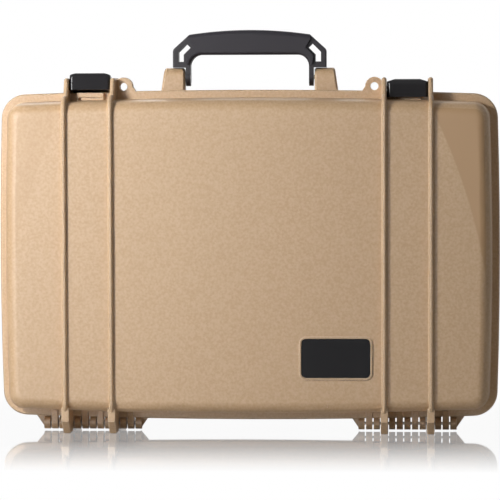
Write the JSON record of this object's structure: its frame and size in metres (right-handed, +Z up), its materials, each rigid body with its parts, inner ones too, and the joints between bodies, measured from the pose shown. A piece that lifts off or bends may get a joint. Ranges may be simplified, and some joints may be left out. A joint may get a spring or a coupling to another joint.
{
  "type": "laptop hard case",
  "caption": "Moulded hard case for a laptop, standing on its hinge side, with ribbed shells, folding handle, hooked latches, padlock ears, gasket and cut foam.",
  "frame": {"origin": "middle of the case on the surface its feet stand on", "axes": "+X along the width, +Y from lid to base, +Z up, towards the handle"},
  "size_m": [0.509, 0.118, 0.409],
  "materials": {
    "shell": "matte",
    "latch": "satin",
    "claw": "satin",
    "handle": "satin",
    "grip": "matte",
    "pin": "satin",
    "seal": "matte",
    "label": "satin",
    "valve": "satin",
    "foam": "matte"
  },
  "bodies": {
    "base": {"base_shell": "shell", "left_hinge_pin": "pin", "right_hinge_pin": "pin", "left_latch_pin": "pin", "right_latch_pin": "pin", "valve_body": "valve", "valve_seal": "seal", "valve_nut": "valve", "foam_tray": "foam", "base_pad": "foam"},
    "lid": {"lid_shell": "shell", "lid_gasket": "seal", "label_plate": "label", "lid_foam": "foam"},
    "handle": {"handle_frame": "handle", "handle_grip": "grip", "left_handle_pin": "pin", "right_handle_pin": "pin"},
    "left_latch": {"left_latch_lever": "latch", "left_claw_pin": "pin"},
    "left_claw": {"left_latch_claw": "claw"},
    "right_latch": {"right_latch_lever": "latch", "right_claw_pin": "pin"},
    "right_claw": {"right_latch_claw": "claw"}
  },
  "joints": [
    {"name": "lid_hinge", "type": "hinge", "parent": "base", "child": "lid", "pos_m": [0, -0.012, 0.0078], "axis": [1, 0, 0], "range_deg": [0, 105]},
    {"name": "handle_fold", "type": "hinge", "parent": "base", "child": "handle", "pos_m": [0, 0.008, 0.361], "axis": [-1, 0, 0], "range_deg": [-90, 90]},
    {"name": "left_latch", "type": "hinge", "parent": "base", "child": "left_latch", "pos_m": [-0.16085, 0.014, 0.35], "axis": [-1, 0, 0], "range_deg": [-11, 99]},
    {"name": "left_claw", "type": "hinge", "parent": "left_latch", "child": "left_claw", "pos_m": [-0.16085, 0.00056, 0.35424], "axis": [-1, 0, 0], "range_deg": [-24.75, 2.75]},
    {"name": "right_latch", "type": "hinge", "parent": "base", "child": "right_latch", "pos_m": [0.16085, 0.014, 0.35], "axis": [-1, 0, 0], "range_deg": [0, 110]},
    {"name": "right_claw", "type": "hinge", "parent": "right_latch", "child": "right_claw", "pos_m": [0.16085, 0, 0.3516], "axis": [-1, 0, 0], "range_deg": [-27.5, 0]}
  ],
  "couplings": [
    {"joint": "left_claw", "follows": "left_latch", "ratio": -0.25},
    {"joint": "right_claw", "follows": "right_latch", "ratio": -0.25}
  ]
}
